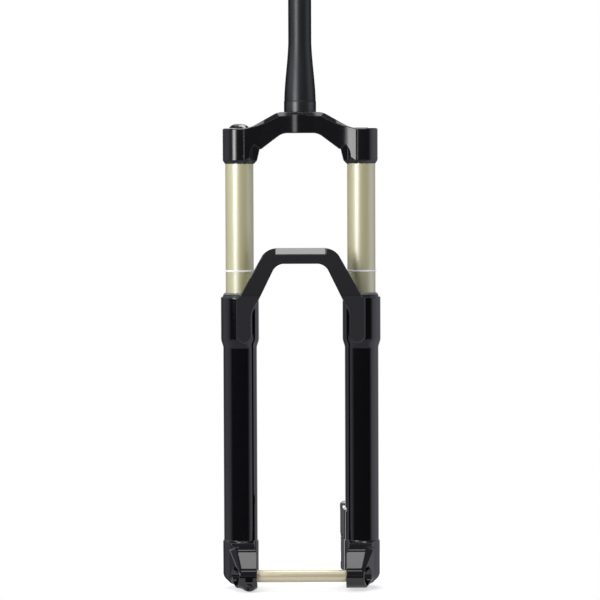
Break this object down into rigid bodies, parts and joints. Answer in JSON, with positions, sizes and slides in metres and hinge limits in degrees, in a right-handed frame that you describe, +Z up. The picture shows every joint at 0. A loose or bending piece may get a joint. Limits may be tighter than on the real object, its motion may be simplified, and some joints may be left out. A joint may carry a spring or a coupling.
{
  "type": "suspension fork",
  "caption": "Bicycle suspension fork: tapered steerer and forged crown, gold stanchions sliding in black one-piece lower legs with a front arch, thru axle and disc brake posts.",
  "frame": {"origin": "steerer axis at the lower edge of the crown race seat, on top of the crown", "axes": "+Z up along the steerer, -Y towards the front of the bicycle, +X to the rider's left"},
  "size_m": [0.1985, 0.093, 0.856],
  "materials": {
    "black_anodised": "satin to gloss black anodised aluminium",
    "gold_coat": "pale champagne gold hard anodised slick coat",
    "black_paint": "gloss black paint on cast magnesium",
    "seal_rubber": "black rubber",
    "white_ring": "white rubber",
    "foam": "oiled open-cell foam",
    "bushing_liner": "low-friction liner",
    "bright_aluminium": "turned",
    "steel": "blackened and plated fasteners",
    "brass": "turned",
    "copper_washer": "soft annealed",
    "blue_plastic": "moulded",
    "red_anodised": "red anodised"
  },
  "bodies": {
    "upper": {"steerer_tube": "black_anodised", "crown": "black_anodised", "stanchion_right": "gold_coat", "stanchion_left": "gold_coat", "damper_top_cap": "black_anodised", "damper_tube": "bright_aluminium", "compression_valve": "bright_aluminium", "damper_bladder": "seal_rubber", "damper_seal_head": "bright_aluminium", "air_top_cap": "black_anodised", "air_valve": "brass", "volume_spacers": "blue_plastic", "air_seal_head": "bright_aluminium", "seal_head_circlips": "steel"},
    "compression_dial": {"compression_dial": "black_anodised", "compression_needle": "bright_aluminium", "dial_screw": "steel"},
    "air_cap": {"air_cap": "black_anodised"},
    "travel_ring_right": {"travel_ring_right": "white_ring"},
    "travel_ring_left": {"travel_ring_left": "white_ring"},
    "lowers": {"lower_casting": "black_paint", "dust_wiper_right": "seal_rubber", "dust_wiper_left": "seal_rubber", "foam_ring_right": "foam", "foam_ring_left": "foam", "upper_bushings": "bushing_liner", "lower_bushings": "bushing_liner", "damper_shaft": "bright_aluminium", "rebound_piston": "bright_aluminium", "damper_foot_nut": "bright_aluminium", "air_shaft": "bright_aluminium", "air_piston": "bright_aluminium", "air_piston_seal": "seal_rubber", "top_out_bumper": "seal_rubber", "bottom_out_bumpers": "seal_rubber", "air_foot_bolt": "steel", "crush_washers": "copper_washer", "axle_insert": "bright_aluminium", "pinch_bolt": "steel"},
    "axle": {"axle": "gold_coat"},
    "rebound_dial": {"rebound_dial": "red_anodised", "rebound_rod": "bright_aluminium"}
  },
  "joints": [
    {"name": "compress", "type": "slide", "parent": "upper", "child": "lowers", "axis": [0, 0, 1], "range_m": [0, 0.15], "stiffness_N_per_m": 4500, "springref_m": -0.03},
    {"name": "travel_ring_right_slide", "type": "slide", "parent": "upper", "child": "travel_ring_right", "axis": [0, 0, 1], "range_m": [0, 0.1275]},
    {"name": "travel_ring_left_slide", "type": "slide", "parent": "upper", "child": "travel_ring_left", "axis": [0, 0, 1], "range_m": [0, 0.1275]},
    {"name": "compression_turn", "type": "hinge", "parent": "upper", "child": "compression_dial", "pos_m": [-0.0755, -0.008, -0.02], "axis": [0, 0, 1], "range_deg": [-120, 0]},
    {"name": "air_cap_lift", "type": "slide", "parent": "upper", "child": "air_cap", "axis": [0, 0, 1], "range_m": [0, 0.03]},
    {"name": "axle_withdraw", "type": "slide", "parent": "lowers", "child": "axle", "axis": [-1, 0, 0], "range_m": [0, 0.155]},
    {"name": "rebound_turn", "type": "hinge", "parent": "lowers", "child": "rebound_dial", "pos_m": [-0.0755, -0.008, -0.58], "axis": [0, 0, 1], "range_deg": [-180, 180]}
  ],
  "couplings": [
    {"joint": "travel_ring_right_slide", "follows": "compress", "ratio": 0.85},
    {"joint": "travel_ring_left_slide", "follows": "compress", "ratio": 0.85}
  ]
}
